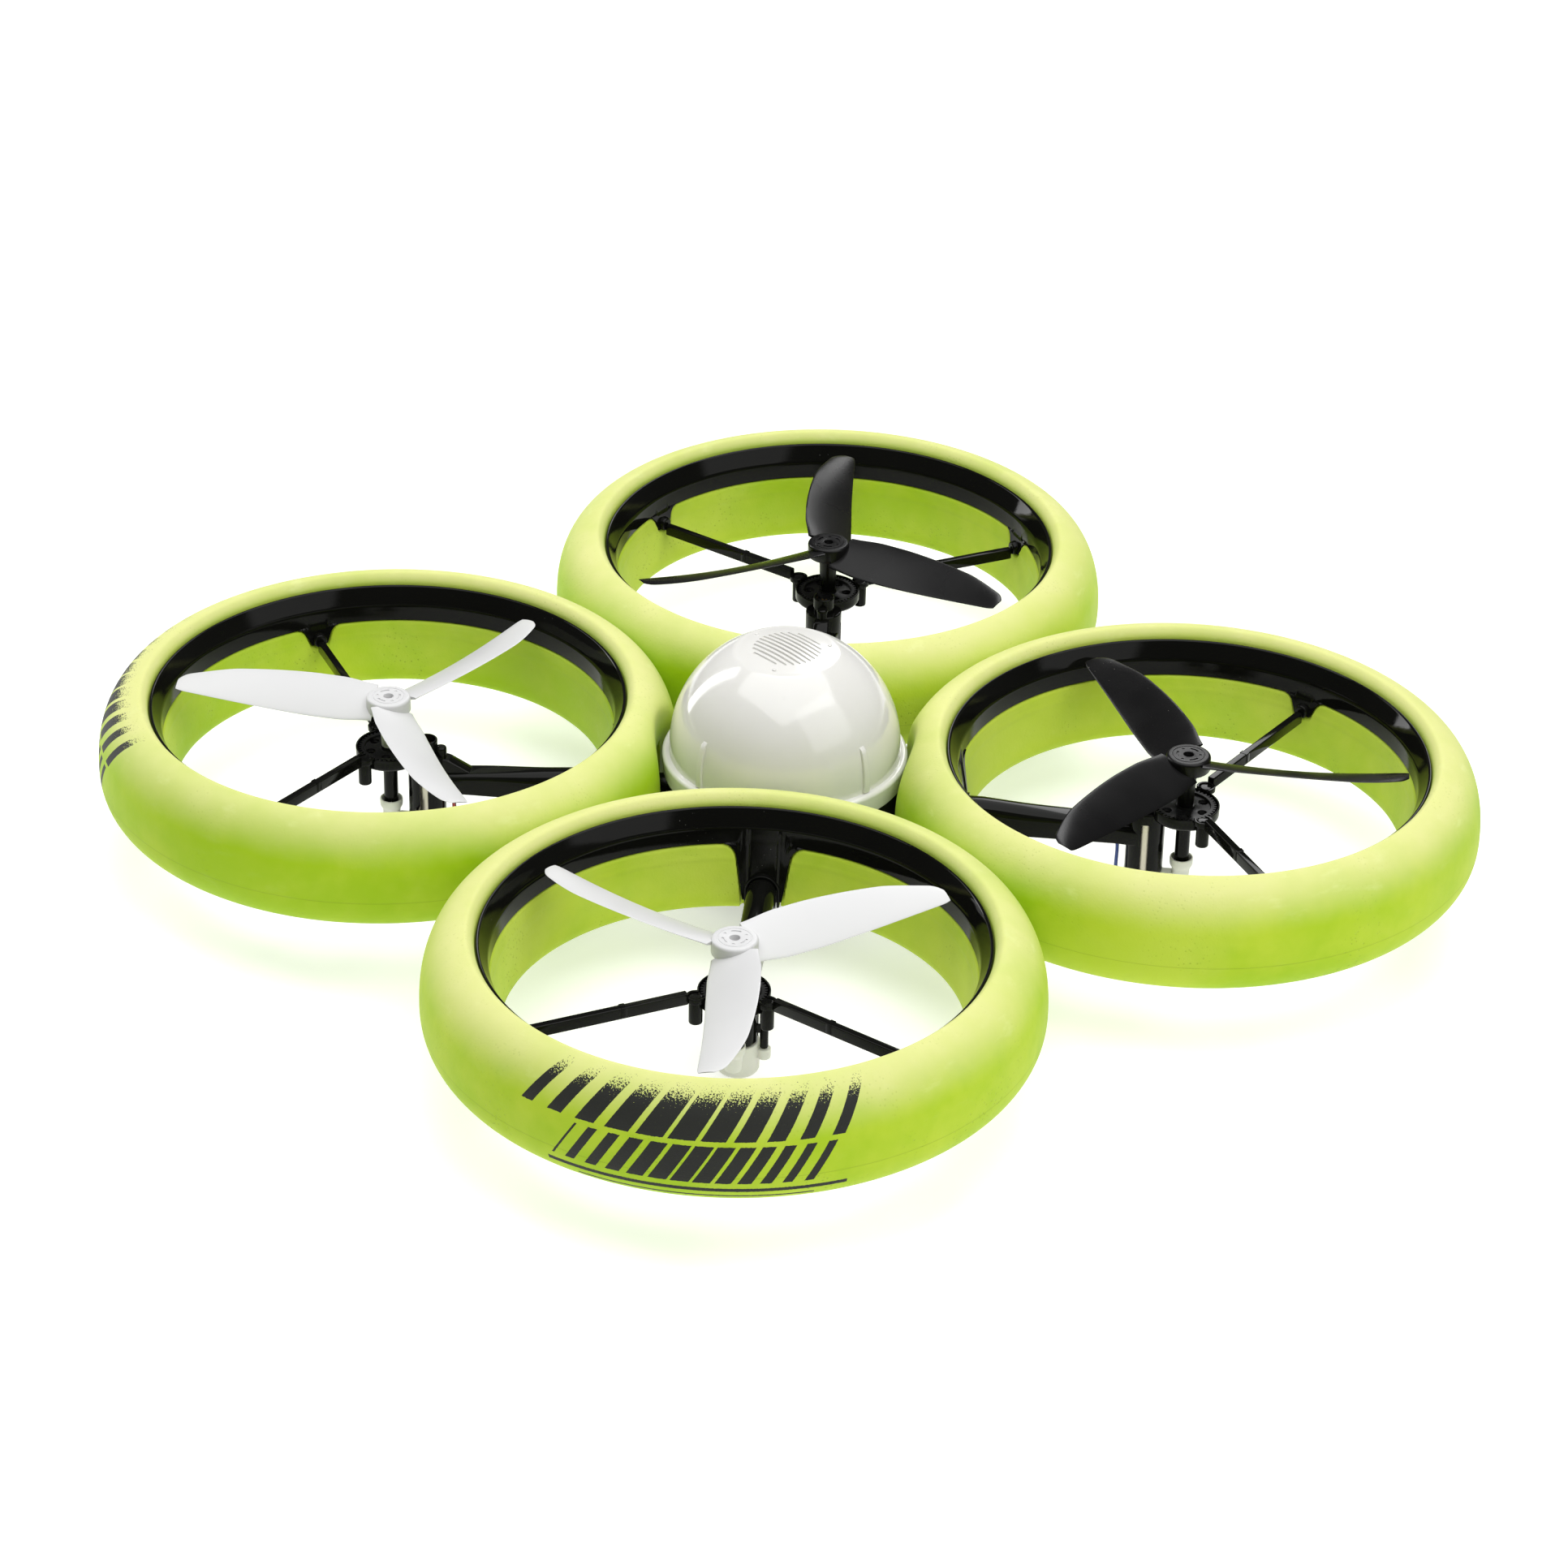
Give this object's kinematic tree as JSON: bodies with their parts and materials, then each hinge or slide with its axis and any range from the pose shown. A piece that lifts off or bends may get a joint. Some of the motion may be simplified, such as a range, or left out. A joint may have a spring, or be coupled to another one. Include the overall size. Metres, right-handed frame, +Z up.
{
  "type": "four-rotor radio-controlled flying toy",
  "caption": "Four-rotor radio-controlled flying toy: foam ring bumpers round ducted geared propellers, arms meeting under a vented dome, standing on motor caps.",
  "frame": {"origin": "on the floor under the middle of the aircraft, at the centre of its footprint", "axes": "+Z up, nose towards -Y (the two white propellers), +X towards the aircraft's left-hand side, the rotor axes parallel to Z"},
  "size_m": [0.3312, 0.3312, 0.0745],
  "materials": {
    "foam": "moulded EVA foam, matt lime yellow",
    "black_gloss": "glossy black moulding",
    "black_matte": "fine matt texture",
    "propeller_white": "satin white",
    "propeller_black": "satin black, finely scratched",
    "steel": "ground",
    "motor_can": "plated can",
    "brass": "turned",
    "white_cap": "off-white moulding",
    "wire_insulation": "PVC insulation",
    "dome_opal": "glossy opal white",
    "circuit_board": "solder mask",
    "battery_wrap": "shrink wrap",
    "switch_white": "moulded"
  },
  "bodies": {
    "airframe": {"foam_bumper_front_right": "foam", "duct_ring_front_right": "black_gloss", "left_spoke_front_right": "black_gloss", "right_spoke_front_right": "black_gloss", "motor_arm_front_right": "black_gloss", "shaft_bush_front_right": "brass", "motor_front_right": "motor_can", "foot_cap_front_right": "white_cap", "motor_wires_front_right": "wire_insulation", "foam_bumper_front_left": "foam", "duct_ring_front_left": "black_gloss", "left_spoke_front_left": "black_gloss", "right_spoke_front_left": "black_gloss", "motor_arm_front_left": "black_gloss", "shaft_bush_front_left": "brass", "motor_front_left": "motor_can", "foot_cap_front_left": "white_cap", "motor_wires_front_left": "wire_insulation", "foam_bumper_rear_right": "foam", "duct_ring_rear_right": "black_gloss", "left_spoke_rear_right": "black_gloss", "right_spoke_rear_right": "black_gloss", "motor_arm_rear_right": "black_gloss", "shaft_bush_rear_right": "brass", "motor_rear_right": "motor_can", "foot_cap_rear_right": "white_cap", "motor_wires_rear_right": "wire_insulation", "foam_bumper_rear_left": "foam", "duct_ring_rear_left": "black_gloss", "left_spoke_rear_left": "black_gloss", "right_spoke_rear_left": "black_gloss", "motor_arm_rear_left": "black_gloss", "shaft_bush_rear_left": "brass", "motor_rear_left": "motor_can", "foot_cap_rear_left": "white_cap", "motor_wires_rear_left": "wire_insulation", "dome_cover": "dome_opal", "lower_body": "black_gloss", "circuit_board": "circuit_board", "battery": "battery_wrap"},
    "rotor_front_right": {"propeller_front_right": "propeller_white", "rotor_shaft_front_right": "steel", "spur_gear_front_right": "black_gloss"},
    "pinion_front_right": {"motor_pinion_front_right": "brass"},
    "rotor_front_left": {"propeller_front_left": "propeller_white", "rotor_shaft_front_left": "steel", "spur_gear_front_left": "black_gloss"},
    "pinion_front_left": {"motor_pinion_front_left": "brass"},
    "rotor_rear_right": {"propeller_rear_right": "propeller_black", "rotor_shaft_rear_right": "steel", "spur_gear_rear_right": "black_gloss"},
    "pinion_rear_right": {"motor_pinion_rear_right": "brass"},
    "rotor_rear_left": {"propeller_rear_left": "propeller_black", "rotor_shaft_rear_left": "steel", "spur_gear_rear_left": "black_gloss"},
    "pinion_rear_left": {"motor_pinion_rear_left": "brass"},
    "battery_door": {"battery_door": "black_matte"},
    "power_switch": {"power_switch": "switch_white"}
  },
  "joints": [
    {"name": "rotor_spin_front_right", "type": "hinge", "parent": "airframe", "child": "rotor_front_right", "pos_m": [-0.0817, -0.0817, 0.03], "axis": [0, 0, 1], "continuous": true},
    {"name": "pinion_spin_front_right", "type": "hinge", "parent": "airframe", "child": "pinion_front_right", "pos_m": [-0.07406, -0.07406, 0.03], "axis": [0, 0, 1], "continuous": true},
    {"name": "rotor_spin_front_left", "type": "hinge", "parent": "airframe", "child": "rotor_front_left", "pos_m": [0.0817, -0.0817, 0.03], "axis": [0, 0, 1], "continuous": true},
    {"name": "pinion_spin_front_left", "type": "hinge", "parent": "airframe", "child": "pinion_front_left", "pos_m": [0.07406, -0.07406, 0.03], "axis": [0, 0, 1], "continuous": true},
    {"name": "rotor_spin_rear_right", "type": "hinge", "parent": "airframe", "child": "rotor_rear_right", "pos_m": [-0.0817, 0.0817, 0.03], "axis": [0, 0, 1], "continuous": true},
    {"name": "pinion_spin_rear_right", "type": "hinge", "parent": "airframe", "child": "pinion_rear_right", "pos_m": [-0.07406, 0.07406, 0.03], "axis": [0, 0, 1], "continuous": true},
    {"name": "rotor_spin_rear_left", "type": "hinge", "parent": "airframe", "child": "rotor_rear_left", "pos_m": [0.0817, 0.0817, 0.03], "axis": [0, 0, 1], "continuous": true},
    {"name": "pinion_spin_rear_left", "type": "hinge", "parent": "airframe", "child": "pinion_rear_left", "pos_m": [0.07406, 0.07406, 0.03], "axis": [0, 0, 1], "continuous": true},
    {"name": "battery_door_slide", "type": "slide", "parent": "airframe", "child": "battery_door", "axis": [0, 1, 0], "range_m": [0, 0.03]},
    {"name": "power_switch_slide", "type": "slide", "parent": "airframe", "child": "power_switch", "axis": [0, 1, 0], "range_m": [0, 0.002]}
  ],
  "couplings": [
    {"joint": "pinion_spin_front_right", "follows": "rotor_spin_front_right", "ratio": -4.4},
    {"joint": "pinion_spin_front_left", "follows": "rotor_spin_front_left", "ratio": -4.4},
    {"joint": "pinion_spin_rear_right", "follows": "rotor_spin_rear_right", "ratio": -4.4},
    {"joint": "pinion_spin_rear_left", "follows": "rotor_spin_rear_left", "ratio": -4.4}
  ]
}
